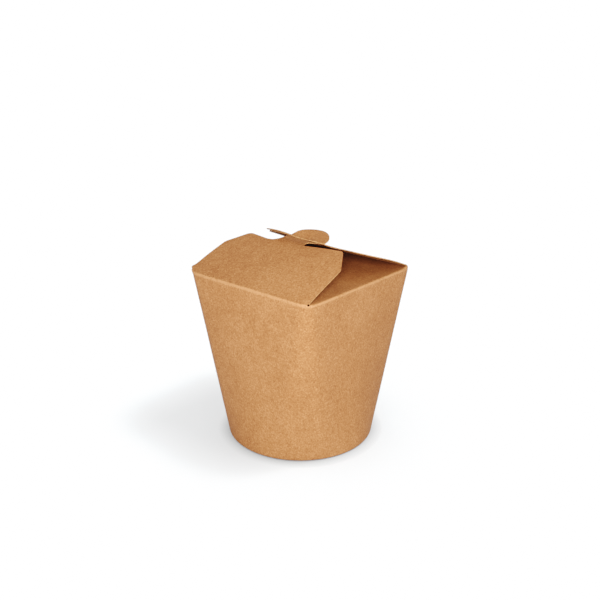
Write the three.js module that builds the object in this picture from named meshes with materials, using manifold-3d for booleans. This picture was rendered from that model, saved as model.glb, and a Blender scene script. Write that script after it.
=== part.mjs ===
// Takeaway noodle box in kraft board: a round base, walls that open out to a square rim, and four
// flaps folded in at the rim. The two side flaps lie inside, and the near and far flaps rise over
// them to a low ridge, where their hooked tongues lock. Millimetres, +Z up, origin at the centre of
// the base. The whole box is one folded board, so it is one solid.
import * as THREE from 'three';
import { mergeVertices } from 'three/addons/utils/BufferGeometryUtils.js';
import Module from 'manifold-3d';

const wasm = await Module();
wasm.setup();

// Driving dimensions of the box.
const rimHeight = 100;
const rimHalf = 45;
const rimCorner = 8;
const baseRadius = 43;
const board = 0.5;
const foldRound = 0.8;
const sideFlapDrop = 3;
const sideFlapStart = 42;

// The near and far flaps: how steeply they rise, and how far the locked middle is pulled down.
const nearSlope = 22.2;
const farSlope = { left: 22.3, right: 20.3, from: -18, to: 12 };
const sag = { depth: 1.0, x: 2, width: 14, reach: 12 };
const flapCell = 4;

// Outline of each flap in its own frame: its fold lies at y = -rimHalf, its tongue points to +Y and
// hooks to +X. The far flap is turned half round afterwards.
const root = { foldHalf: 38, foldY: -44.7, cornerX: 43.2, cornerY: -42.7 };
const nearFlap = {
  left: { kink: [-42.4, -17], shoulder: [-32.6, -5.9] },
  notch: { start: [-19, -7.2], end: [-10.4, -3] },
  tongue: { crest: 7.7, crestX: 8, tip: 18.5, tipY: 1 },
  slot: { end: 8, low: -5.5, upStart: -0.8, upEnd: -1 },
  right: { shoulder: [33.6, -3.9], kink: [42.5, -16.6] },
};
const farFlap = {
  left: { kink: [-42.4, -17], shoulder: [-33, -5.4] },
  notch: { start: [-27, -6.9], end: [-18.4, -3] },
  tongue: { crest: 7.2, crestX: 10, tip: 20.8, tipY: 2.4 },
  slot: { end: -9, low: -5.6, upStart: 3.1, upEnd: 1.2 },
  right: { shoulder: [29, -6.6], kink: [42.4, -20] },
};

const rad = THREE.MathUtils.degToRad;

// A closed geometry becomes a solid that can be joined and cut.
function toSolid(geometry) {
  geometry.deleteAttribute('normal');
  geometry.deleteAttribute('uv');
  const merged = mergeVertices(geometry, 1e-4);
  return new wasm.Manifold(new wasm.Mesh({
    numProp: 3,
    vertProperties: new Float32Array(merged.attributes.position.array),
    triVerts: new Uint32Array(merged.index.array),
  }));
}

function toGeometry(solid) {
  const mesh = solid.getMesh();
  const geometry = new THREE.BufferGeometry();
  geometry.setAttribute('position', new THREE.BufferAttribute(new Float32Array(mesh.vertProperties), 3));
  geometry.setIndex(new THREE.BufferAttribute(new Uint32Array(mesh.triVerts), 1));
  geometry.computeVertexNormals();
  return geometry;
}

// Points round a square with rounded corners, anticlockwise.
function roundedSquare(half, corner) {
  const arcSteps = 6;
  const sideSteps = 14;
  const points = [];
  for (let quarter = 0; quarter < 4; quarter += 1) {
    const turn = quarter * Math.PI / 2;
    const place = (x, y) => new THREE.Vector2(x, y).rotateAround(new THREE.Vector2(), turn);
    const middle = half - corner;
    for (let i = 0; i < arcSteps; i += 1) {
      const angle = i / arcSteps * Math.PI / 2;
      points.push(place(middle + corner * Math.cos(angle), middle + corner * Math.sin(angle)));
    }
    for (let i = 0; i < sideSteps; i += 1) {
      points.push(place(middle - 2 * middle * i / sideSteps, half));
    }
  }
  return points;
}

// A solid lofted through rings with the same number of points, closed by a fan at each end.
function loft(rings) {
  const count = rings[0].length;
  const vertices = rings.flat().flatMap((p) => [p.x, p.y, p.z]);
  const low = rings.length * count;
  const high = low + 1;
  vertices.push(0, 0, rings[0][0].z, 0, 0, rings.at(-1)[0].z);
  const faces = [];
  for (let i = 0; i < count; i += 1) {
    const next = (i + 1) % count;
    for (let r = 0; r + 1 < rings.length; r += 1) {
      const a = r * count;
      const b = a + count;
      faces.push(a + i, a + next, b + next, a + i, b + next, b + i);
    }
    faces.push(low, next, i);
    const top = (rings.length - 1) * count;
    faces.push(high, top + i, top + next);
  }
  const geometry = new THREE.BufferGeometry();
  geometry.setAttribute('position', new THREE.Float32BufferAttribute(vertices, 3));
  geometry.setIndex(faces);
  return toSolid(geometry);
}

// Walls from the round base to the square rim, softened where the board turns over at the rim.
function makeWalls() {
  const rim = roundedSquare(rimHalf, rimCorner);
  const round = (radius, z) => rim.map((p) => {
    const angle = Math.atan2(p.y, p.x);
    return new THREE.Vector3(radius * Math.cos(angle), radius * Math.sin(angle), z);
  });
  const square = (inset, z) => roundedSquare(rimHalf - inset, rimCorner - inset)
    .map((p) => new THREE.Vector3(p.x, p.y, z));
  return loft([
    round(baseRadius - foldRound / 2, 0),
    round(baseRadius, foldRound / 2),
    square(0, rimHeight - foldRound),
    square(foldRound * 0.3, rimHeight - foldRound * 0.3),
    square(foldRound, rimHeight),
  ]);
}

// The two side flaps slope down from their folds to the middle of the box.
function makeSideFlapValley() {
  const valley = new THREE.Shape();
  valley.moveTo(-sideFlapStart, 0);
  valley.lineTo(0, -sideFlapDrop);
  valley.lineTo(sideFlapStart, 0);
  valley.lineTo(sideFlapStart, board);
  valley.lineTo(-sideFlapStart, board);
  const length = 2 * sideFlapStart;
  const geometry = new THREE.ExtrudeGeometry(valley, { depth: length, bevelEnabled: false });
  geometry.translate(0, 0, -length / 2);
  geometry.rotateX(Math.PI / 2);
  geometry.translate(0, 0, rimHeight);
  return toSolid(geometry);
}

// Top surface of the near and the far flap over a point of the plan.
function sagAt(x, y) {
  return sag.depth * Math.exp(-(((x - sag.x) / sag.width) ** 2) - (y / sag.reach) ** 2);
}

function nearHeight(x, y) {
  return rimHeight + (rimHalf + y) * Math.tan(rad(nearSlope)) - sagAt(x, y);
}

function farHeight(x, y) {
  const share = THREE.MathUtils.smoothstep(x, farSlope.from, farSlope.to);
  const slope = THREE.MathUtils.lerp(farSlope.left, farSlope.right, share);
  return rimHeight + (rimHalf - y) * Math.tan(rad(slope)) - sagAt(x, y);
}

// The cut outline of a flap: straight sides, cut-off shoulders, a scooped notch, the hooked tongue
// and the slot under the hook.
function flapOutline({ left, notch, tongue, slot, right }) {
  const [notchX, notchY] = notch.end;
  const slotRound = (slot.upStart - slot.low) / 2;
  const shape = new THREE.Shape();
  shape.moveTo(-root.foldHalf, root.foldY);
  shape.lineTo(-root.cornerX, root.cornerY);
  shape.lineTo(...left.kink);
  shape.lineTo(...left.shoulder);
  shape.lineTo(...notch.start);
  shape.bezierCurveTo(notch.start[0] + 4, notchY - 4.4, notchX - 2, notchY - 3.2, notchX, notchY);
  shape.bezierCurveTo(notchX + 1.2, notchY + 6.6, notchX + 9.4, tongue.crest, tongue.crestX, tongue.crest);
  const tipPull = (tongue.tip - tongue.crestX) / 2;
  shape.bezierCurveTo(tongue.crestX + tipPull, tongue.crest, tongue.tip, tongue.tipY + 4, tongue.tip, tongue.tipY);
  shape.lineTo(tongue.tip - 0.4, slot.upEnd);
  shape.lineTo(slot.end + slotRound, slot.upStart);
  shape.absarc(slot.end + slotRound, slot.low + slotRound, slotRound, Math.PI / 2, 3 * Math.PI / 2, false);
  shape.lineTo(...right.shoulder);
  shape.lineTo(...right.kink);
  shape.lineTo(root.cornerX, root.cornerY);
  shape.lineTo(root.foldHalf, root.foldY);
  return shape;
}

// A slab one board thick whose top follows the height function, over the plan of one flap.
function makeSlab(height, yFrom, yTo) {
  const xFrom = -rimHalf;
  const columns = Math.ceil(2 * rimHalf / flapCell);
  const rows = Math.ceil((yTo - yFrom) / flapCell);
  const vertices = [];
  for (const drop of [board, 0]) {
    for (let j = 0; j <= rows; j += 1) {
      for (let i = 0; i <= columns; i += 1) {
        const x = xFrom + 2 * rimHalf * i / columns;
        const y = yFrom + (yTo - yFrom) * j / rows;
        vertices.push(x, y, height(x, y) - drop);
      }
    }
  }
  const layer = (columns + 1) * (rows + 1);
  const at = (i, j, k) => k * layer + j * (columns + 1) + i;
  const faces = [];
  const quad = (a, b, c, d) => faces.push(a, b, c, a, c, d);
  for (let j = 0; j < rows; j += 1) {
    for (let i = 0; i < columns; i += 1) {
      quad(at(i, j, 1), at(i + 1, j, 1), at(i + 1, j + 1, 1), at(i, j + 1, 1));
      quad(at(i, j, 0), at(i, j + 1, 0), at(i + 1, j + 1, 0), at(i + 1, j, 0));
    }
  }
  for (let i = 0; i < columns; i += 1) {
    quad(at(i, 0, 0), at(i + 1, 0, 0), at(i + 1, 0, 1), at(i, 0, 1));
    quad(at(i, rows, 0), at(i, rows, 1), at(i + 1, rows, 1), at(i + 1, rows, 0));
  }
  for (let j = 0; j < rows; j += 1) {
    quad(at(0, j, 0), at(0, j, 1), at(0, j + 1, 1), at(0, j + 1, 0));
    quad(at(columns, j, 0), at(columns, j + 1, 0), at(columns, j + 1, 1), at(columns, j, 1));
  }
  const geometry = new THREE.BufferGeometry();
  geometry.setAttribute('position', new THREE.Float32BufferAttribute(vertices, 3));
  geometry.setIndex(faces);
  return toSolid(geometry);
}

function makeFlap(outline, height, turned) {
  const tall = 60;
  const geometry = new THREE.ExtrudeGeometry(flapOutline(outline), {
    depth: tall, bevelEnabled: false, curveSegments: 10,
  });
  if (turned) geometry.rotateZ(Math.PI);
  geometry.translate(0, 0, rimHeight - tall / 2);
  const tongueRoom = 12;
  const span = turned ? [-tongueRoom, rimHalf] : [-rimHalf, tongueRoom];
  return toSolid(geometry).intersect(makeSlab(height, ...span));
}

const box = makeWalls()
  .subtract(makeSideFlapValley())
  .add(makeFlap(nearFlap, nearHeight, false))
  .add(makeFlap(farFlap, farHeight, true));

const kraftBoard = new THREE.MeshStandardMaterial({ color: 0xc9996a, roughness: 0.9, metalness: 0 });
const noodleBox = new THREE.Mesh(toGeometry(box), kraftBoard);
noodleBox.name = 'noodle_box';

const group = new THREE.Group();
group.add(noodleBox);

export default group;
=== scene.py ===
import math

import bmesh
import bpy
import numpy as np
from mathutils import Matrix, Vector, noise


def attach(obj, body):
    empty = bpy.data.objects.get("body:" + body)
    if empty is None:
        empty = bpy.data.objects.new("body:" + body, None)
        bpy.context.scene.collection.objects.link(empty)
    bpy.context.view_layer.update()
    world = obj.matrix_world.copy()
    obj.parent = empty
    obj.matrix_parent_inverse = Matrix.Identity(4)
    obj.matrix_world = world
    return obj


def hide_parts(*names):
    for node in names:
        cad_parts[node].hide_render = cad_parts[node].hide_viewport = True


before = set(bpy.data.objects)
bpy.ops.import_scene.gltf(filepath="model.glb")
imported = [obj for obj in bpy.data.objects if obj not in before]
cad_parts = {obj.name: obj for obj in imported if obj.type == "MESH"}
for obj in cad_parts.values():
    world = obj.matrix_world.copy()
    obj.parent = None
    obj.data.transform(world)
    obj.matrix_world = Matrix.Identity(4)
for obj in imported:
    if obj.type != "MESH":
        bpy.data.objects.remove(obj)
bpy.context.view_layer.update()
print("frame loaded")

mm = 0.001

# the folded box in mm; its rim and its height are those of the solid that it dresses
box = {
    "rimHeight": 100.0,
    "rimHalf": 45.0,
    "foldRadius": 1.1,
    "baseRadius": 43.4,
    "baseRound": 1.7,
    "board": 0.5,             # 300 g kraft board is half a millimetre thick
    "tuckDepth": 6.0,         # how far down the closed top is hollow under the side flaps
    "lip": 0.3,               # how far the inside of the fold runs on below the board
    "overlap": 0.12,          # how far a flap runs into its fold, so that no gap opens
    "baseSteps": 4,
    "wallRows": 48,
    "wearAndHighlightRows": (0.75, 0.5, 0.3, 0.15),      # extra rows just under the fold, for its paler band of wear and painted highlight
    "sideSteps": 22,
    "foldSteps": 8,
}


def smooth(value, low, high):
    share = min(max((value - low) / (high - low), 0.0), 1.0)
    return share * share * (3 - 2 * share)


# each corner, from the flatter side wall round to the near or far wall, which the locked flaps pull
# into a wider curve; a score line between them keeps part of the turn
corner = {
    "stiff": {"turn": 9.0, "length": 7.0, "steps": 8},
    "score": {"turn": 25.0, "radius": 0.4, "steps": 4},
    "pulled": {"length": 9.0, "power": 1.5, "steps": 20},
    "foldsMeet": 4,           # steps into the pulled curve where one fold ends and the next begins
    "fan": 0.35,              # how far the rulings gather at the middle of each side of the base
}


def quarterPoints():
    # (point, normal angle, share of the near/far fold, angle that its foot follows) from the middle
    # of the right side to the middle of the far side; the score runs down the wall as one line
    half = box["rimHalf"]
    stiff, score, pulled = corner["stiff"], corner["score"], corner["pulled"]
    chain = []                # (length of step, normal angle in degrees, fold share, foot angle)
    for i in range(stiff["steps"]):
        angle = stiff["turn"] * ((i + 1) / stiff["steps"])
        chain.append((stiff["length"] / stiff["steps"], angle, 0.0, angle))
    scoreStep = score["radius"] * math.radians(score["turn"]) / score["steps"]
    scoreFoot = stiff["turn"] + score["turn"] / 2
    for i in range(score["steps"]):
        angle = stiff["turn"] + score["turn"] * ((i + 1) / score["steps"])
        chain.append((scoreStep, angle, 0.0, scoreFoot))
    pulledTurn = 90 - stiff["turn"] - score["turn"]
    for i in range(pulled["steps"]):
        left = 1 - (i + 1) / pulled["steps"]
        share = min(max((i - corner["foldsMeet"]) / 2 + 0.5, 0.0), 1.0)
        angle = 90 - pulledTurn * left ** pulled["power"]
        chain.append((pulled["length"] / pulled["steps"], angle, share, angle))
    point = Vector((0.0, 0.0))
    turned = [(point.copy(), 0.0, 0.0, 0.0)]
    lastAngle = 0.0
    for length, angle, share, footAngle in chain:
        middle = math.radians((lastAngle + angle) / 2)
        point += length * Vector((-math.sin(middle), math.cos(middle)))
        turned.append((point.copy(), angle, share, footAngle))
        lastAngle = angle
    shift = Vector((half, half - point.y))
    turned = [(p + shift, angle, share, footAngle) for p, angle, share, footAngle in turned]
    start, end = turned[0][0], turned[-1][0]
    steps = box["sideSteps"]
    before = [(Vector((half, start.y * i / steps)), 0.0, 0.0, 0.0) for i in range(steps)]
    after = [(Vector((end.x * (1 - i / steps), half)), 90.0, 1.0, 90.0) for i in range(1, steps)]
    return before + turned + after


def rimPoints():
    # (point, outward normal, fold share, angle round the base) anticlockwise from +X
    quarter = quarterPoints()
    end = (Vector((0.0, box["rimHalf"])), 90.0, 1.0, 90.0)
    mirrored = [(Vector((-p.x, p.y)), 180.0 - angle, share, 180.0 - footAngle)
                for p, angle, share, footAngle in reversed(quarter[1:])]
    halfTurn = quarter + [end] + mirrored
    points = []
    for turn in (0, 180):
        side = 1 if turn == 0 else -1
        for p, angle, share, footAngle in halfTurn:
            polar = math.degrees(math.atan2(p.y, p.x)) % 360
            foot = polar + (footAngle - polar) * corner["fan"]
            normal = Vector((math.cos(math.radians(angle)), math.sin(math.radians(angle))))
            points.append((p * side, normal * side, share, math.radians(foot + turn)))
    return points


def foldSlope(share):
    # a side flap lies lower than the near and the far one
    return math.radians(-sideFlap["drop"] + (nearFlap["slope"][0] + sideFlap["drop"]) * share)


def foldRow(point, normal, foldShare, step):
    # the board turns over from the wall to its flap on an arc
    slope = foldSlope(foldShare)
    radius = box["foldRadius"]
    angle = (math.pi / 2 - slope) * step
    inset = radius * (1 - math.cos(angle))
    endInset = radius * (1 - math.sin(slope))
    centreZ = box["rimHeight"] + endInset * math.tan(slope) - radius * math.cos(slope)
    place = point - normal * inset
    return Vector((place.x, place.y, centreZ + radius * math.sin(angle)))


def newMesh(name, verts, faces):
    mesh = bpy.data.meshes.new(name)
    mesh.from_pydata([tuple(v) for v in verts], [], faces)
    mesh.validate()
    thing = bpy.data.objects.new(name, mesh)
    bpy.context.scene.collection.objects.link(thing)
    return thing


def makeWalls():
    # closed solid: the outer wall, the fold over the rim, and a shallow well under the flaps
    rim = rimPoints()
    count = len(rim)
    height = box["rimHeight"]
    base, edge = box["baseRadius"], box["baseRound"]
    rings = []
    for step in range(box["baseSteps"] + 1):
        turn = math.pi / 2 * step / box["baseSteps"]
        radius, z = base - edge * (1 - math.sin(turn)), edge * (1 - math.cos(turn))
        rings.append([Vector((radius * math.cos(a), radius * math.sin(a), z)) for _, _, _, a in rim])
    foot = rings[-1]
    starts = [foldRow(p, n, share, 0.0) for p, n, share, _ in rim]
    rows = [row / box["wallRows"] for row in range(1, box["wallRows"])]
    rows += [1 - (1 - rows[-1]) * share for share in box["wearAndHighlightRows"]]
    for row in rows:
        rings.append([a.lerp(b, row) for a, b in zip(foot, starts)])
    for step in range(box["foldSteps"] + 1):
        rings.append([foldRow(p, n, share, step / box["foldSteps"]) for p, n, share, _ in rim])
    well = [p - n * (box["foldRadius"] + box["board"]) for p, n, _, _ in rim]
    for z in (height - box["board"] - box["lip"], height - box["tuckDepth"]):
        rings.append([Vector((w.x, w.y, z)) for w in well])
    verts = [v for ring in rings for v in ring]
    faces = []
    for r in range(len(rings) - 1):
        for i in range(count):
            j = (i + 1) % count
            faces.append((r * count + i, r * count + j, (r + 1) * count + j, (r + 1) * count + i))
    for ring, z, flip in ((0, 0.0, True), (len(rings) - 1, height - box["tuckDepth"], False)):
        middle = len(verts)
        verts.append(Vector((0, 0, z)))
        for i in range(count):
            a, b = ring * count + i, ring * count + (i + 1) % count
            faces.append((middle, b, a) if flip else (middle, a, b))
    return newMesh("walls", verts, faces)


# cut outlines of the two locking flaps, both in the near flap's own frame; the far one is turned
# half round afterwards
nearFlap = {
    "slope": (22.2, 22.2),    # degrees, at the left and right as the box is seen from the front
    "left": {"foot": (-44.9, -41.4), "kink": (-42.4, -17.0), "shoulder": (-32.6, -5.9), "round": 2.2},
    "notch": {"start": (-19.0, -7.2), "end": (-10.4, -3.0)},
    "tongue": {"crest": 8.4, "crestX": 8.0, "tip": 18.5, "tipY": 1.0, "tipPull": (0.0, 4.0)},
    "slot": {"end": 6.5, "low": -5.5, "upStart": -2.0, "upEnd": -1.0},
    "right": {"shoulder": (33.3, -3.9), "kink": (42.0, -16.6), "foot": (42.9, -42.2), "round": 1.6},
}
farFlap = {
    "slope": (22.3, 20.3),
    "left": {"foot": (-42.9, -42.2), "kink": (-42.4, -17.0), "shoulder": (-33.0, -5.4), "round": 2.2},
    "notch": {"start": (-27.0, -6.9), "end": (-18.4, -3.0)},
    "tongue": {"crest": 7.2, "crestX": 10.0, "tip": 23.8, "tipY": 1.9, "tipPull": (-6.0, 4.4)},
    "slot": {"end": -9.0, "low": -5.6, "upStart": 3.1, "upEnd": 1.2},
    "right": {"shoulder": (29.0, -6.6), "kink": (42.4, -20.0), "foot": (42.9, -42.2), "round": 1.6},
}
# curves that both outlines share: (along, up) from the point named, the radii of the cut corners,
# and how finely each curve is drawn
cutCurves = {
    "notchStart": (4.0, -4.4),
    "notchEnd": (-2.0, -3.2),
    "neck": (0.8, 7.0),
    "brow": (8.0, 0.3),
    "tipBack": 0.4,
    "slotMouth": 4.0,
    "leftFoot": 0.9,
    "kink": 1.0,
    "tip": 0.6,
    "rightFoot": 0.3,
    "cornerPull": 0.55,       # how far a corner's curve reaches for the corner itself
    "steps": {"corner": 6, "notch": 12, "neck": 16, "head": 14, "tip": 4, "slot": 12},
}


def bezier(p0, p1, p2, p3, steps):
    out = []
    for i in range(1, steps + 1):
        t = i / steps
        u = 1 - t
        out.append(tuple(u ** 3 * a + 3 * u * u * t * b + 3 * u * t * t * c + t ** 3 * d
                         for a, b, c, d in zip(p0, p1, p2, p3)))
    return out


def softCorner(before, at, after, radius, steps=cutCurves["steps"]["corner"]):
    # a rounded corner of the cut outline
    a, b, c = Vector(before), Vector(at), Vector(after)
    start = b + (a - b).normalized() * radius
    end = b + (c - b).normalized() * radius
    pull = cutCurves["cornerPull"]
    return [tuple(start)] + bezier(start, start.lerp(b, pull), end.lerp(b, pull), end, steps)


def nearRoot():
    # the near flap's edge along its fold, from one relief hole to the next
    ends = [foldRow(p, n, share, 1.0) for p, n, share, _ in rimPoints() if share == 1.0 and n.y < 0]
    return sorted((v.x, v.y - box["overlap"]) for v in ends)


def moved(point, shift):
    return (point[0] + shift[0], point[1] + shift[1])


def flapOutline(flap):
    left, right = flap["left"], flap["right"]
    notch, tongue, slot = flap["notch"], flap["tongue"], flap["slot"]
    curves, steps = cutCurves, cutCurves["steps"]
    root = nearRoot()
    outline = list(reversed(root))
    outline += softCorner(root[0], left["foot"], left["kink"], curves["leftFoot"])
    outline += softCorner(left["foot"], left["kink"], left["shoulder"], curves["kink"])
    outline += softCorner(left["kink"], left["shoulder"], notch["start"], left["round"])

    # the scooped notch, then up the neck and over the tongue's head to its hooked tip
    start, end = notch["start"], notch["end"]
    outline.append(start)
    scoop = (start[0] + curves["notchStart"][0], end[1] + curves["notchStart"][1])
    outline += bezier(start, scoop, moved(end, curves["notchEnd"]), end, steps["notch"])
    crest = (tongue["crestX"], tongue["crest"])
    brow = (end[0] + curves["brow"][0], crest[1] + curves["brow"][1])
    outline += bezier(end, moved(end, curves["neck"]), brow, crest, steps["neck"])
    pull = (tongue["tip"] - tongue["crestX"]) / 2
    tip = (tongue["tip"], tongue["tipY"])
    head = (crest[0] + pull, crest[1])
    outline += bezier(crest, head, moved(tip, tongue["tipPull"]), tip, steps["head"])

    # back under the hook, round the end of the slot and out along it
    heel = (tip[0] - curves["tipBack"], slot["upEnd"])
    mouth = (slot["end"] + curves["slotMouth"], slot["upStart"])
    outline += softCorner(tip, heel, mouth, curves["tip"], steps["tip"])
    slotRound = (slot["upStart"] - slot["low"]) / 2
    for i in range(steps["slot"] + 1):
        angle = math.pi / 2 + math.pi * i / steps["slot"]
        outline.append((slot["end"] + slotRound + slotRound * math.cos(angle),
                        slot["low"] + slotRound + slotRound * math.sin(angle)))
    slotFoot = (slot["end"] + slotRound, slot["low"])
    outline += softCorner(slotFoot, right["shoulder"], right["kink"], right["round"])
    outline += softCorner(right["shoulder"], right["kink"], right["foot"], curves["kink"])
    outline += softCorner(right["kink"], right["foot"], root[-1], curves["rightFoot"])
    return outline


# how the two locking flaps rise and bend; mm, in the box's own frame
flapGrid = {
    "cell": 1.5,
    "rootCell": 0.5,          # finer near the fold
    "rootEnd": -36.0,
    "top": 11.0,
    "margin": 1.0,
    "cutter": (-10.0, 40.0),  # from the rim, down and up
}
foldFade = 7.0                # the fold's own slope fades out over this length of the flap
# between these the slope at the left gives way to the slope at the right
flapTwist = {"from": -18.0, "to": 12.0}
# the lock pulls the middle of both flaps down
lockSag = {"depth": 1.0, "x": 2.0, "width": 14.0, "reach": 12.0}
# the far tongue rides up over the near flap
tongueLift = {"height": 1.3, "x": 4.0, "width": 17.0, "from": 6.0, "to": -3.0}
# the near flap flattens where it passes under the far one
lockDip = {"depth": 1.7, "x": -2.0, "y": 1.6, "width": 9.0, "front": 3.4, "back": 2.2}
# the far flap's right end is pulled up by its fold
farLift = {"height": 0.5, "x": 46.0, "y": 28.0, "reach": 15.0}


def sagAt(x, y):
    return lockSag["depth"] * math.exp(-((x - lockSag["x"]) / lockSag["width"]) ** 2
                                       - (y / lockSag["reach"]) ** 2)


def rimY(x):
    # how far out the inner edge of the near fold lies at x
    root = nearRoot()
    return float(np.interp(x, [p[0] for p in root], [p[1] for p in root]))


def flapHeight(flap, x, y, turned):
    # top of the board over a point of the near flap's own frame
    worldX, worldY = (-x, -y) if turned else (x, y)
    share = smooth(worldX, flapTwist["from"], flapTwist["to"])
    slope = flap["slope"][0] + (flap["slope"][1] - flap["slope"][0]) * share
    rise = math.tan(math.radians(slope))
    edge = rimY(x)
    straight = rimY(0.0)
    fade = math.exp(-(y - edge) / foldFade)
    settle = (edge - straight) * rise * fade
    rootMatch = (math.tan(foldSlope(1.0)) - rise) * (straight + box["rimHalf"])
    if turned:
        across = math.exp(-((worldX - tongueLift["x"]) / tongueLift["width"]) ** 4)
        lift = tongueLift["height"] * across * smooth(-worldY, -tongueLift["from"], -tongueLift["to"])
        away = math.hypot(worldX - farLift["x"], worldY - farLift["y"]) / farLift["reach"]
        lift += farLift["height"] * math.exp(-away ** 2)
    else:
        reach = lockDip["front"] if y < lockDip["y"] else lockDip["back"]
        lift = -lockDip["depth"] * math.exp(-((x - lockDip["x"]) / lockDip["width"]) ** 4
                                            - ((y - lockDip["y"]) / reach) ** 2)
    return (box["rimHeight"] + (box["rimHalf"] + y) * rise - settle + rootMatch * fade
            - sagAt(worldX, worldY) + lift)


def makeSlab(name, heightAt, xs, ys, thickness):
    verts = []
    for drop in (thickness, 0.0):
        for y in ys:
            for x in xs:
                verts.append((x, y, heightAt(x, y) - drop))
    columns, rows = len(xs), len(ys)
    layer = columns * rows

    def at(i, j, k):
        return k * layer + j * columns + i

    faces = []
    for j in range(rows - 1):
        for i in range(columns - 1):
            faces.append((at(i, j, 1), at(i + 1, j, 1), at(i + 1, j + 1, 1), at(i, j + 1, 1)))
            faces.append((at(i, j, 0), at(i, j + 1, 0), at(i + 1, j + 1, 0), at(i + 1, j, 0)))
    for i in range(columns - 1):
        faces.append((at(i, 0, 0), at(i + 1, 0, 0), at(i + 1, 0, 1), at(i, 0, 1)))
        faces.append((at(i, rows - 1, 0), at(i, rows - 1, 1),
                      at(i + 1, rows - 1, 1), at(i + 1, rows - 1, 0)))
    for j in range(rows - 1):
        faces.append((at(0, j, 0), at(0, j, 1), at(0, j + 1, 1), at(0, j + 1, 0)))
        faces.append((at(columns - 1, j, 0), at(columns - 1, j + 1, 0),
                      at(columns - 1, j + 1, 1), at(columns - 1, j, 1)))
    return newMesh(name, verts, faces)


def makePrism(name, outline, low, high):
    bm = bmesh.new()
    floor = [bm.verts.new((x, y, low)) for x, y in outline]
    face = bm.faces.new(floor)
    lifted = bmesh.ops.extrude_face_region(bm, geom=[face])["geom"]
    top = [part for part in lifted if isinstance(part, bmesh.types.BMVert)]
    bmesh.ops.translate(bm, vec=(0, 0, high - low), verts=top)
    bmesh.ops.triangulate(bm, faces=[f for f in bm.faces if len(f.verts) > 4])
    bmesh.ops.recalc_face_normals(bm, faces=bm.faces)
    mesh = bpy.data.meshes.new(name)
    bm.to_mesh(mesh)
    bm.free()
    thing = bpy.data.objects.new(name, mesh)
    bpy.context.scene.collection.objects.link(thing)
    return thing


def combine(thing, other, operation):
    cut = thing.modifiers.new("cut", "BOOLEAN")
    cut.solver = "MANIFOLD"
    cut.operation = operation
    cut.object = other
    evaluated = thing.evaluated_get(bpy.context.evaluated_depsgraph_get())
    mesh = bpy.data.meshes.new_from_object(evaluated)
    thing.modifiers.clear()
    old = thing.data
    thing.data = mesh
    mesh.name = thing.name
    bpy.data.meshes.remove(old)
    bpy.data.objects.remove(other)
    if not mesh.polygons:
        raise RuntimeError(f"{thing.name}: nothing left after {operation}")


def spread(low, high, step):
    count = max(2, round((high - low) / step))
    return [low + (high - low) * i / count for i in range(count + 1)]


def turnRound(thing):
    thing.data.transform(Matrix.Rotation(math.pi, 4, "Z"))


def makeFlap(name, flap, turned):
    thickness = box["board"] / math.cos(math.radians(nearFlap["slope"][0]))
    half, height = box["rimHalf"], box["rimHeight"]
    low, high = flapGrid["cutter"]
    xs = spread(-half, half, flapGrid["cell"])
    ys = spread(rimY(0.0) - flapGrid["margin"], flapGrid["rootEnd"], flapGrid["rootCell"])
    ys += spread(flapGrid["rootEnd"], flapGrid["top"], flapGrid["cell"])[1:]
    slab = makeSlab(name, lambda x, y: flapHeight(flap, x, y, turned), xs, ys, thickness)
    prism = makePrism(name + "Cutter", flapOutline(flap), height + low, height + high)
    combine(slab, prism, "INTERSECT")
    if turned:
        turnRound(slab)
    return slab


# the two inner flaps; mm
sideFlap = {
    "drop": 0.4,              # degrees below level
    "gap": 0.6,
    "innerHalf": 42.2,
    "cell": 3.0,
    "margin": 1.0,
    "cutter": (-8.0, 4.0),    # from the rim, down and up
}


def makeSideFlap(name, turned):
    # tucked in flat under the two locking flaps, meeting its twin on the middle line
    ends = [foldRow(p, n, share, 1.0) for p, n, share, _ in rimPoints() if share == 0.0 and n.x > 0]
    outline = sorted(((v.x + box["overlap"], v.y) for v in ends), key=lambda place: place[1])
    inner = sideFlap["innerHalf"]
    outline += [(sideFlap["gap"] / 2, inner), (sideFlap["gap"] / 2, -inner)]
    rise = math.tan(foldSlope(0.0))
    half, height = box["rimHalf"], box["rimHeight"]
    low, high = sideFlap["cutter"]
    xs = spread(-sideFlap["margin"], half, sideFlap["cell"])
    ys = spread(-half, half, sideFlap["cell"])
    slab = makeSlab(name, lambda x, y: height + (half - x) * rise, xs, ys, box["board"])
    prism = makePrism(name + "Cutter", outline, height + low, height + high)
    combine(slab, prism, "INTERSECT")
    if turned:
        turnRound(slab)
    return slab


# small round holes punched where two folds meet, leaning out of the corner; mm and degrees
relief = {"x": 42.7, "y": 42.8, "z": 99.9, "radius": 0.62, "sides": 20, "turn": 50.0, "tilt": 42.0,
          "reach": 6.0, "top": 3.0}


def punchRelief(piece):
    hole, sides = relief["radius"], relief["sides"]
    around = [2 * math.pi * i / sides for i in range(sides)]
    ring = [(hole * math.cos(a), hole * math.sin(a)) for a in around]
    turn, tilt = math.radians(relief["turn"]), math.radians(relief["tilt"])
    for sx, sy in ((1, 1), (-1, 1), (-1, -1), (1, -1)):
        punch = makePrism("punch", ring, -relief["reach"], relief["top"])
        out = Vector((sx * math.cos(turn) * math.cos(tilt), sy * math.sin(turn) * math.cos(tilt),
                      math.sin(tilt)))
        place = Matrix.Translation((sx * relief["x"], sy * relief["y"], relief["z"]))
        punch.data.transform(place @ out.to_track_quat("Z", "Y").to_matrix().to_4x4())
        combine(piece, punch, "DIFFERENCE")


# two corners stand up a little where the walls were pinched to lock the flaps
ears = (
    {"x": -43.6, "y": -42.2, "lift": 0.7, "push": -0.9, "reach": 2.6, "pieces": ("walls", "nearFlap")},
    {"x": 43.8, "y": 41.6, "lift": 0.9, "push": 0.0, "reach": 2.8, "pieces": ("walls",)},
)
earBand = (2.4, 0.5)          # mm below the rim, where the lift starts and where it is full


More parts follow.
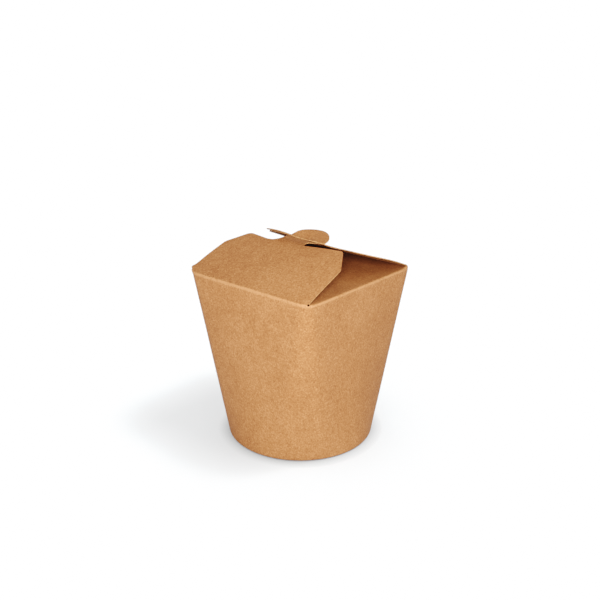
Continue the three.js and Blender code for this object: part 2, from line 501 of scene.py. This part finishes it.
def raiseEars(thing):
    for ear in ears:
        if thing.name not in ear["pieces"]:
            continue
        for v in thing.data.vertices:
            away = math.hypot(v.co.x - ear["x"], v.co.y - ear["y"])
            share = math.exp(-(away / ear["reach"]) ** 2)
            share *= smooth(v.co.z, box["rimHeight"] - earBand[0], box["rimHeight"] - earBand[1])
            v.co.z += ear["lift"] * share
            v.co.x += ear["push"] * share


# the left corner is pinched in from the base up to the rim
pinch = {"base": (-31.6, -29.2), "rim": (-44.2, -43.6), "in": (0.56, 0.49), "reach": 9.0}


def pinchCorner(thing):
    start, end, inward = Vector(pinch["base"]), Vector(pinch["rim"]), Vector(pinch["in"])
    for v in thing.data.vertices:
        up = v.co.z / box["rimHeight"]
        away = (v.co.xy - start.lerp(end, min(up, 1.0))).length / pinch["reach"]
        v.co.xy += inward * min(up, 1.0) * math.exp(-away ** 2)


# hand-folded board is never quite true: a slow and a finer wave, growing from low to high; mm
handling = {"seed": 5, "shift": 3.7, "low": 15.0, "high": 90.0,
            "reach": 38.0, "amount": 0.10, "fine": 14.0, "fineAmount": 0.04}


def handle(thing):
    noise.seed_set(handling["seed"])
    for v in thing.data.vertices:
        lift = smooth(v.co.z, handling["low"], handling["high"])
        coarse = noise.noise_vector(v.co / handling["reach"] + Vector((handling["shift"], 0, 0)))
        fine = noise.noise_vector(v.co / handling["fine"] + Vector((0, handling["shift"], 0)))
        v.co += lift * (coarse * handling["amount"] + fine * handling["fineAmount"])


def hexColour(text):
    def channel(pair):
        value = int(pair, 16) / 255
        return value / 12.92 if value <= 0.04045 else ((value + 0.055) / 1.055) ** 2.4
    return tuple(channel(text[i:i + 2]) for i in (1, 3, 5)) + (1.0,)


def addNode(tree, kind, settings=None, links=None):
    node = tree.nodes.new(kind)
    for key, value in (settings or {}).items():
        if isinstance(key, str) and hasattr(node, key):
            setattr(node, key, value)
        else:
            node.inputs[key].default_value = value
    for key, source in (links or {}).items():
        tree.links.new(source, node.inputs[key])
    return node


# unbleached kraft board, machine made and uncoated: brown wood fibres lie in the sheet in every
# direction, so the eye sees a matt tan face, softly clouded, with paler and darker hairs in it
kraftBoard = {
    "dark": "#8e5837",
    "middle": "#ab714a",
    "light": "#c6895f",
    "swing": 0.5,             # value range of the whole ramp, from dark to light
    "cloudy": 0.6,            # how much each finer octave of a layer adds
    "layers": {
        "pulpClouds": {"size": 16.0, "swing": 0.21, "detail": 3.0},          # mm
        "mottle": {"size": 2.6, "swing": 0.21, "detail": 3.0},
        "fibreEnds": {"size": 0.45, "swing": 0.50, "detail": 1.0},       # coarser than the real 0.1 mm
    },
    # spruce and pine fibres are 2 to 3 mm long and 0.04 mm wide; drawn coarser so that they show
    "hairs": {
        "fine": {"spacing": 1.0, "length": 1.7, "width": 0.5, "swing": 0.29},
        "middling": {"spacing": 1.7, "length": 2.8, "width": 0.55, "swing": 0.26},
        "long": {"spacing": 3.6, "length": 4.6, "width": 0.6, "swing": 0.26},
    },
    "core": 0.3,              # share of a hair or a speck that has its full tone
    "shives": {"spacing": 9.0, "radius": 0.45, "swing": -0.22},              # dark specks of bark
    # a paler band, in patches, on the steep side of the fold and a little below it: partly pale fibres
    # lifted by creasing, partly a painted highlight
    "fold": {"tone": 0.24, "reach": 0.35, "patch": 1.2, "upright": (0.55, 0.95)},
    "bounce": "#7d675a",      # the dull brown that the board throws on its neighbours
    "roughness": 0.7,
    "ior": 1.45,
    "gloss": 0.3,
    "relief": 0.06,           # mm, how far hairs stand up
}
# the board's own flat coordinates
grain = {
    "unit": 100.0,            # mm in one unit
    "belly": 3.0,             # mm that the walls' mean radius has over half the rim
    "shift": 1.37,            # from one piece to the next
    "stretch": 1.07,          # a sloping flap is longer than it looks from above
    "level": 0.8,             # faces more level than this don't count as wall
}


def makeKraftBoard():
    material = bpy.data.materials.new("unbleachedKraftBoard")
    material.use_nodes = True
    tree = material.node_tree
    tree.nodes.clear()
    inSheet = addNode(tree, "ShaderNodeUVMap", {"uv_map": "grain"}).outputs["UV"]
    inSpace = addNode(tree, "ShaderNodeTexCoord").outputs["Object"]
    parts = []                # (source, multiply, add), summed into one value
    for layer in kraftBoard["layers"].values():
        clouds = addNode(tree, "ShaderNodeTexNoise",
                         {"Scale": 1 / (layer["size"] * mm * 2), "Detail": layer["detail"],
                          "Roughness": kraftBoard["cloudy"]},
                         {"Vector": inSpace})
        parts.append((clouds.outputs["Fac"], layer["swing"], -0.5 * layer["swing"]))
    unit, core = grain["unit"], kraftBoard["core"]
    for hair in kraftBoard["hairs"].values():
        cell = addNode(tree, "ShaderNodeTexVoronoi",
                       {"voronoi_dimensions": "2D", "Scale": unit / hair["spacing"], "Randomness": 1.0},
                       {"Vector": inSheet})
        away = addNode(tree, "ShaderNodeVectorMath", {"operation": "SUBTRACT"},
                       {0: inSheet, 1: cell.outputs["Position"]})
        chance = addNode(tree, "ShaderNodeSeparateColor", {}, {"Color": cell.outputs["Color"]})
        angle = addNode(tree, "ShaderNodeMath", {"operation": "MULTIPLY", 1: math.pi},
                        {0: chance.outputs["Red"]})
        turned = addNode(tree, "ShaderNodeVectorRotate", {"rotation_type": "Z_AXIS"},
                         {"Vector": away.outputs["Vector"], "Angle": angle.outputs["Value"]})
        scaled = addNode(tree, "ShaderNodeVectorMath",
                         {"operation": "MULTIPLY",
                          1: (2 * unit / hair["length"], 2 * unit / hair["width"], 0.0)},
                         {0: turned.outputs["Vector"]})
        far = addNode(tree, "ShaderNodeVectorMath", {"operation": "LENGTH"},
                      {0: scaled.outputs["Vector"]})
        inside = addNode(tree, "ShaderNodeMapRange",
                         {"interpolation_type": "SMOOTHSTEP", "From Min": 1.0, "From Max": core,
                          "To Min": 0.0, "To Max": 1.0},
                         {"Value": far.outputs["Value"]})
        tone = addNode(tree, "ShaderNodeMath", {"operation": "SUBTRACT", 1: 0.5},
                       {0: chance.outputs["Green"]})
        mark = addNode(tree, "ShaderNodeMath", {"operation": "MULTIPLY"},
                       {0: tone.outputs["Value"], 1: inside.outputs["Result"]})
        parts.append((mark.outputs["Value"], hair["swing"], 0.0))
    shive = kraftBoard["shives"]
    cell = addNode(tree, "ShaderNodeTexVoronoi",
                   {"voronoi_dimensions": "2D", "Scale": unit / shive["spacing"], "Randomness": 1.0},
                   {"Vector": inSheet})
    edge = shive["radius"] / shive["spacing"]
    spot = addNode(tree, "ShaderNodeMapRange",
                   {"interpolation_type": "SMOOTHSTEP", "From Min": edge, "From Max": core * edge,
                    "To Min": 0.0, "To Max": 1.0},
                   {"Value": cell.outputs["Distance"]})
    parts.append((spot.outputs["Result"], shive["swing"], 0.0))
    # the fold's paler band: partly crease wear, partly a painted highlight
    wornAndLit = addNode(tree, "ShaderNodeAttribute", {"attribute_name": "foldWearAndHighlight"})
    patch = addNode(tree, "ShaderNodeTexNoise", {"Scale": 1 / (kraftBoard["fold"]["patch"] * mm * 2)},
                    {"Vector": inSpace})
    patchy = addNode(tree, "ShaderNodeMath", {"operation": "MULTIPLY"},
                     {0: wornAndLit.outputs["Fac"], 1: patch.outputs["Fac"]})
    parts.append((patchy.outputs["Value"], 2 * kraftBoard["fold"]["tone"], 0.0))
    total = None
    for source, gain, shift in parts:
        scaled = addNode(tree, "ShaderNodeMath", {"operation": "MULTIPLY_ADD", 1: gain, 2: shift},
                         {0: source})
        total = scaled if total is None else addNode(
            tree, "ShaderNodeMath", {"operation": "ADD"}, {0: total.outputs[0], 1: scaled.outputs[0]})
    span = kraftBoard["swing"]
    tone = addNode(tree, "ShaderNodeMapRange", {"From Min": -span / 2, "From Max": span / 2},
                   {"Value": total.outputs[0]})
    ramp = addNode(tree, "ShaderNodeValToRGB", {}, {"Fac": tone.outputs["Result"]})
    stops = ramp.color_ramp.elements
    stops[0].position, stops[0].color = 0.0, hexColour(kraftBoard["dark"])
    stops[1].position, stops[1].color = 1.0, hexColour(kraftBoard["light"])
    stops.new(0.5).color = hexColour(kraftBoard["middle"])
    bump = addNode(tree, "ShaderNodeBump", {"Strength": 1.0, "Distance": kraftBoard["relief"] * mm},
                   {"Height": tone.outputs["Result"]})
    bounced = addNode(tree, "ShaderNodeLightPath").outputs["Is Diffuse Ray"]
    colour = addNode(tree, "ShaderNodeMix", {"data_type": "RGBA", 7: hexColour(kraftBoard["bounce"])},
                     {0: bounced, 6: ramp.outputs["Color"]})
    shader = addNode(tree, "ShaderNodeBsdfPrincipled",
                     {"Roughness": kraftBoard["roughness"], "IOR": kraftBoard["ior"],
                      "Specular IOR Level": kraftBoard["gloss"]},
                     {"Base Color": colour.outputs[2], "Normal": bump.outputs["Normal"]})
    addNode(tree, "ShaderNodeOutputMaterial", {}, {"Surface": shader.outputs["BSDF"]})
    return material


# the die-cut edge of the same board: torn fibre ends, a little rougher than the face and paler, partly
# raw fibre and partly a painted highlight along the edge
cutEdge = {"dark": "#a36e47", "light": "#c28c60", "size": 0.5, "detail": 2.0, "span": (0.35, 0.65),
           "roughness": 0.9}


def makeCutEdge():
    material = bpy.data.materials.new("dieCutKraftEdge")
    material.use_nodes = True
    tree = material.node_tree
    tree.nodes.clear()
    inSpace = addNode(tree, "ShaderNodeTexCoord").outputs["Object"]
    torn = addNode(tree, "ShaderNodeTexNoise",
                   {"Scale": 1 / (cutEdge["size"] * mm * 2), "Detail": cutEdge["detail"]},
                   {"Vector": inSpace})
    # paler than the face: partly raw fibre, partly a painted highlight on the edge
    ramp = addNode(tree, "ShaderNodeValToRGB", {}, {"Fac": torn.outputs["Fac"]})
    stops = ramp.color_ramp.elements
    for stop, place, key in zip(stops, cutEdge["span"], ("dark", "light")):
        stop.position, stop.color = place, hexColour(cutEdge[key])
    shader = addNode(tree, "ShaderNodeBsdfPrincipled", {"Roughness": cutEdge["roughness"]},
                     {"Base Color": ramp.outputs["Color"]})
    addNode(tree, "ShaderNodeOutputMaterial", {}, {"Surface": shader.outputs["BSDF"]})
    return material


def markFoldWearAndHighlight(thing):
    # how pale each point is painted, partly crease wear and partly painted highlight, strongest on the
    # outside of the folds at the rim
    mesh = thing.data
    wearAndHighlight = mesh.attributes.new("foldWearAndHighlight", "FLOAT", "POINT")
    if thing.name != "walls":
        return
    start = box["rimHeight"] - box["foldRadius"]
    fold = kraftBoard["fold"]
    for v in mesh.vertices:
        below = max(start - v.co.z, 0.0)
        steep = 1 - smooth(v.normal.z, *fold["upright"])
        wearAndHighlight.data[v.index].value = math.exp(-below / fold["reach"]) * steep


def layGrain(thing, index):
    # coordinates in the flat sheet: round and up the walls, or across and along a flap
    mesh = thing.data
    layer = mesh.uv_layers.new(name="grain")
    around = 2 * math.pi * (box["rimHalf"] + grain["belly"])
    offset = index * grain["shift"]
    for polygon in mesh.polygons:
        centre = polygon.center
        onWall = thing.name == "walls" and abs(polygon.normal.z) < grain["level"]
        middle = math.atan2(centre.y, centre.x)
        for loop in polygon.loop_indices:
            co = mesh.vertices[mesh.loops[loop].vertex_index].co
            if onWall:
                turn = math.atan2(co.y, co.x) - middle
                turn = middle + (turn + math.pi) % (2 * math.pi) - math.pi
                place = (turn / (2 * math.pi) * around, co.z)
            else:
                place = (co.x, co.y * grain["stretch"])
            layer.data[loop].uv = (place[0] / grain["unit"] + offset, place[1] / grain["unit"] + offset)


# a flap's faces whose normal rises less than this are its cut sides; edges that turn by more than
# this many degrees stay crisp
cutFaces = {"rise": 0.6, "crisp": 35.0}


def finishPiece(thing, face, edge):
    # smooth faces with sharp cut edges, and on the cut sides the paler edge material, partly a painted
    # highlight
    mesh = thing.data
    mesh.materials.clear()
    mesh.materials.append(face)
    mesh.materials.append(edge)
    bm = bmesh.new()
    bm.from_mesh(mesh)
    bm.normal_update()
    for f in bm.faces:
        f.smooth = True
        f.material_index = 1 if thing.name != "walls" and abs(f.normal.z) < cutFaces["rise"] else 0
    for e in bm.edges:
        if len(e.link_faces) == 2:
            e.smooth = e.calc_face_angle() < math.radians(cutFaces["crisp"])
    bm.to_mesh(mesh)
    bm.free()


pieces = [makeWalls(),
          makeFlap("nearFlap", nearFlap, False),
          makeFlap("farFlap", farFlap, True),
          makeSideFlap("rightFlap", False),
          makeSideFlap("leftFlap", True)]
for piece in pieces:
    punchRelief(piece)
    raiseEars(piece)
    pinchCorner(piece)
print("box cut and folded")

board = makeKraftBoard()
edgeBoard = makeCutEdge()
for index, piece in enumerate(pieces):
    handle(piece)
    finishPiece(piece, board, edgeBoard)
    markFoldWearAndHighlight(piece)
    layGrain(piece, index)
    piece.data.transform(Matrix.Scale(mm, 4))
    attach(piece, "root")
    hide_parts("noodle_box")
print("kraft board finished")


# white sweep under soft studio lamps
studio = {
    # the sweep looks whiter from the camera than it bounces on the box, as a lamp-lit sweep would;
    # up to "contact" mm from whatever touches it, a painted contact shade darkens it by up to the share
    # "shade"
    "floor": {"seen": "#f1f3f4", "bounced": "#cacbcc", "half": 6.0, "contact": 7.0, "shade": 0.7,
              "samples": 8},
    "sky": 0.37,
    "backdrop": 1.2,
    # a round softbox beside the camera, on the box alone
    "softbox": {"azimuth": 42.5, "elevation": 23.5, "distance": 0.38, "aim": 0.07, "radius": 0.06,
                "level": 0.68},
    # on the sweep alone: a high lamp from the right that draws the soft shadow, and a wide soft
    # light overhead and an even wash that lift it to white
    "floorLamps": {
        "shadowLamp": {"azimuth": 118.0, "elevation": 63.5, "spread": 23.0, "level": 0.30,
                       "shadow": True},
        "floorFill": {"azimuth": 0.0, "elevation": 90.0, "spread": 90.0, "level": 0.13,
                      "shadow": True},
        "floorWash": {"azimuth": 0.0, "elevation": 90.0, "spread": 0.526, "level": 0.32,
                      "shadow": False},
    },
    # how the film answers to light: (light on it, brightness shown), both linear
    "film": ((0.0, 0.003), (0.01, 0.007), (0.03, 0.028), (0.06, 0.086), (0.1, 0.175), (0.18, 0.328),
             (0.3, 0.493), (0.45, 0.645), (0.55, 0.726), (0.64, 0.79), (0.8, 0.89), (0.93, 1.0),
             (1.0, 1.0)),
}


def towards(azimuth, elevation):
    # unit vector from the box to a lamp; azimuth 0 is straight in front of the near side
    azimuth, elevation = math.radians(azimuth), math.radians(elevation)
    return Vector((math.sin(azimuth) * math.cos(elevation), -math.cos(azimuth) * math.cos(elevation),
                   math.sin(elevation)))


def hangLamp(name, kind, lamp, place, receivers):
    # a lamp that lights one group of things and nothing else
    light = bpy.data.lights.new(name, kind)
    thing = bpy.data.objects.new(name, light)
    bpy.context.scene.collection.objects.link(thing)
    direction = towards(lamp["azimuth"], lamp["elevation"])
    thing.location = place
    thing.rotation_euler = direction.to_track_quat("Z", "Y").to_euler()
    thing.light_linking.receiver_collection = receivers
    return thing, light


def gather(name, things):
    group = bpy.data.collections.new(name)
    for thing in things:
        group.objects.link(thing)
    return group


def makeFloor():
    settings = studio["floor"]
    half = settings["half"]
    corners = [(-half, -half, 0), (half, -half, 0), (half, half, 0), (-half, half, 0)]
    floor = newMesh("floor", corners, [(0, 1, 2, 3)])
    material = bpy.data.materials.new("mattPaintedFloor")
    material.use_nodes = True
    tree = material.node_tree
    tree.nodes.clear()
    seen = addNode(tree, "ShaderNodeLightPath").outputs["Is Camera Ray"]
    white = hexColour(settings["seen"])
    # painted contact shade: the sweep's paint darkens near whatever touches it
    contact = addNode(tree, "ShaderNodeAmbientOcclusion",
                      {"samples": settings["samples"], "Color": white,
                       "Distance": settings["contact"] * mm})
    paint = addNode(tree, "ShaderNodeMix", {"data_type": "RGBA", 0: settings["shade"], 6: white},
                    {7: contact.outputs["Color"]})
    bounced = addNode(tree, "ShaderNodeBsdfDiffuse", {"Color": hexColour(settings["bounced"])})
    shown = addNode(tree, "ShaderNodeBsdfDiffuse", {}, {"Color": paint.outputs[2]})
    mixed = addNode(tree, "ShaderNodeMixShader", {},
                    {0: seen, 1: bounced.outputs[0], 2: shown.outputs[0]})
    addNode(tree, "ShaderNodeOutputMaterial", {}, {"Surface": mixed.outputs[0]})
    floor.data.materials.append(material)
    return floor


def makeSky():
    # the sky lights the box softly, and the backdrop behind it shows white
    world = bpy.data.worlds.new("studioSky")
    bpy.context.scene.world = world
    world.use_nodes = True
    tree = world.node_tree
    tree.nodes.clear()
    seen = addNode(tree, "ShaderNodeLightPath").outputs["Is Camera Ray"]
    white = (1, 1, 1, 1)
    sky = addNode(tree, "ShaderNodeBackground", {"Color": white, "Strength": studio["sky"]})
    backdrop = addNode(tree, "ShaderNodeBackground", {"Color": white, "Strength": studio["backdrop"]})
    mixed = addNode(tree, "ShaderNodeMixShader", {},
                    {0: seen, 1: sky.outputs[0], 2: backdrop.outputs[0]})
    addNode(tree, "ShaderNodeOutputWorld", {}, {"Surface": mixed.outputs[0]})


def makeLamps(floor):
    softbox = studio["softbox"]
    aim = Vector((0, 0, softbox["aim"]))
    place = aim + towards(softbox["azimuth"], softbox["elevation"]) * softbox["distance"]
    thing, light = hangLamp("softbox", "AREA", softbox, place, gather("boxOnly", pieces))
    light.shape = "DISK"
    light.size = 2 * softbox["radius"]
    light.energy = softbox["level"] * math.pi ** 2 * softbox["distance"] ** 2
    thing.visible_camera = False
    floorOnly = gather("floorOnly", [floor])
    for name, lamp in studio["floorLamps"].items():
        thing, light = hangLamp(name, "SUN", lamp, (0, 0, 1), floorOnly)
        light.angle = math.radians(lamp["spread"])
        light.energy = lamp["level"] * math.pi
        light.use_shadow = lamp["shadow"]


def setFilm():
    view = bpy.context.scene.view_settings
    view.view_transform = "Standard"
    view.use_curve_mapping = True
    curve = view.curve_mapping.curves[3]
    film = studio["film"]
    curve.points[0].location = film[0]
    for x, y in film[1:-1]:
        curve.points.new(x, y)
    for point in curve.points:
        point.handle_type = "AUTO_CLAMPED"
    view.curve_mapping.update()


# the camera stands about an arm's length away, a little above the rim
camera = {
    "azimuth": 41.19,
    "elevation": 23.51,
    "distance": 0.450,
    "aim": 0.050,
    "pixelsPerMm": 1.6986,    # at the aim point
    "axisX": 300.3,           # where the aim point lies in the render, in pixels
    "axisY": 349.5,
    "frame": 600.0,
    "sensor": 36.0,
    "nearest": 0.01,
}


def makeCamera():
    data = bpy.data.cameras.new("camera")
    data.sensor_width = camera["sensor"]
    focal = camera["pixelsPerMm"] * camera["distance"] / mm
    data.lens = focal * camera["sensor"] / camera["frame"]
    data.shift_x = (camera["frame"] / 2 - camera["axisX"]) / camera["frame"]
    data.shift_y = (camera["axisY"] - camera["frame"] / 2) / camera["frame"]
    data.clip_start = camera["nearest"]
    thing = bpy.data.objects.new("camera", data)
    bpy.context.scene.collection.objects.link(thing)
    back = towards(camera["azimuth"], camera["elevation"])
    thing.location = Vector((0, 0, camera["aim"])) + back * camera["distance"]
    thing.rotation_euler = back.to_track_quat("Z", "Y").to_euler()
    bpy.context.scene.camera = thing


makeSky()
makeLamps(makeFloor())
setFilm()
makeCamera()
print("studio and camera set")
